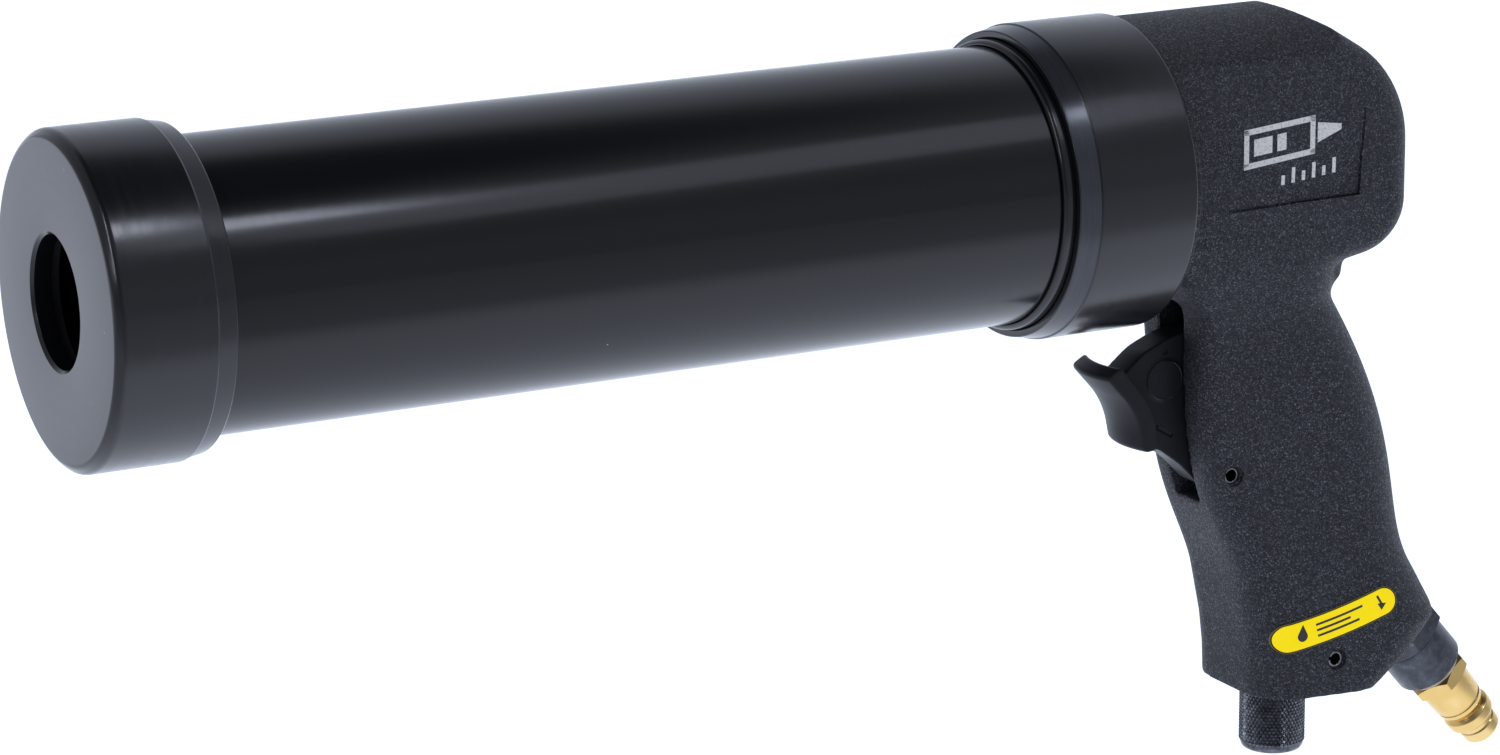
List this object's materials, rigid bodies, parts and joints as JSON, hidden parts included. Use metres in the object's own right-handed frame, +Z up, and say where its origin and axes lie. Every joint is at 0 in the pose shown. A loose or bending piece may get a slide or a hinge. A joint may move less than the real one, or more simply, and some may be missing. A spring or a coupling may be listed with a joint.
{
  "type": "pneumatic cartridge caulking gun",
  "caption": "Air-powered caulking gun: a round barrel with a nozzle hole holds a sealant cartridge in front of a pistol grip with trigger, regulator knob and quick-connect air plug.",
  "frame": {"origin": "centre of the nozzle hole on the muzzle face, on the barrel axis", "axes": "+X to the rear along the barrel, +Z up, grip below; -Y is the user's right-hand side seen from the muzzle"},
  "size_m": [0.3263, 0.0638, 0.1699],
  "materials": {
    "coated_casting": "matte black textured powder coat",
    "black_anodised_tube": "gloss black",
    "black_turned_metal": "satin black, fine turning marks",
    "slip_ring_plastic": "gloss black",
    "trigger_plastic": "smooth satin black",
    "knurled_knob": "black oxide, diamond knurl",
    "black_bushing": "black oxide, satin",
    "brass": "bright turned brass",
    "steel": "ground",
    "dark_steel": "black oxide",
    "seal_rubber": "matte",
    "fibre_washer": "matte",
    "filter_bronze": "sintered",
    "label_film": "gloss yellow film"
  },
  "bodies": {
    "pistol": {"pistol_body": "coated_casting", "head_gasket": "seal_rubber", "trigger_pivot_pin": "dark_steel", "regulator_lock_pin": "dark_steel", "valve_retainer": "brass", "valve_sleeve": "brass", "valve_sleeve_orings": "seal_rubber", "regulator_guide": "brass", "guide_oring": "seal_rubber", "inlet_bushing": "black_bushing", "inlet_filter": "filter_bronze", "plug_washer": "fibre_washer", "air_plug": "brass", "oiling_label": "label_film"},
    "barrel": {"barrel_tube": "black_anodised_tube", "barrel_stop_ring": "black_turned_metal"},
    "slip_ring": {"collar_slip_ring": "slip_ring_plastic"},
    "collar": {"union_collar": "black_turned_metal"},
    "cap_ring": {"cap_bumper_ring": "seal_rubber"},
    "cap": {"front_cap": "black_turned_metal"},
    "trigger_lever": {"trigger": "trigger_plastic"},
    "valve": {"valve_stem": "steel", "valve_stem_seal": "seal_rubber", "valve_spring": "steel"},
    "knob": {"regulator_knob": "knurled_knob", "knob_oring": "seal_rubber"},
    "needle": {"regulator_needle": "steel"}
  },
  "joints": [
    {"name": "barrel_off", "type": "slide", "parent": "pistol", "child": "barrel", "axis": [-1, 0, 0], "range_m": [0, 0.24]},
    {"name": "collar_travel", "type": "slide", "parent": "barrel", "child": "slip_ring", "axis": [-1, 0, 0], "range_m": [0, 0.008]},
    {"name": "collar_turn", "type": "hinge", "parent": "slip_ring", "child": "collar", "pos_m": [0.21, 0, 0], "axis": [-1, 0, 0], "range_deg": [0, 1440]},
    {"name": "cap_travel", "type": "slide", "parent": "barrel", "child": "cap_ring", "axis": [-1, 0, 0], "range_m": [0, 0.012]},
    {"name": "cap_turn", "type": "hinge", "parent": "cap_ring", "child": "cap", "pos_m": [0.01, 0, 0], "axis": [-1, 0, 0], "range_deg": [0, 2160]},
    {"name": "trigger_pull", "type": "hinge", "parent": "pistol", "child": "trigger_lever", "pos_m": [0.248, 0, -0.0644], "axis": [0, 1, 0], "range_deg": [0, 10]},
    {"name": "valve_travel", "type": "slide", "parent": "pistol", "child": "valve", "axis": [1, 0, 0], "range_m": [0, 0.00338], "stiffness_N_per_m": 900, "springref_m": -0.004, "deforming": ["valve_spring"]},
    {"name": "regulator_turn", "type": "hinge", "parent": "pistol", "child": "knob", "pos_m": [0.2677, 0, -0.12], "axis": [0, 0, 1], "range_deg": [0, 1080]},
    {"name": "needle_travel", "type": "slide", "parent": "pistol", "child": "needle", "axis": [0, 0, -1], "range_m": [0, 0.003]}
  ],
  "couplings": [
    {"joint": "collar_turn", "follows": "collar_travel", "rad_per_m": 3141.6},
    {"joint": "cap_turn", "follows": "cap_travel", "rad_per_m": 3141.6},
    {"joint": "trigger_pull", "follows": "valve_travel", "rad_per_m": 51.55},
    {"joint": "regulator_turn", "follows": "needle_travel", "rad_per_m": 6283.2}
  ]
}
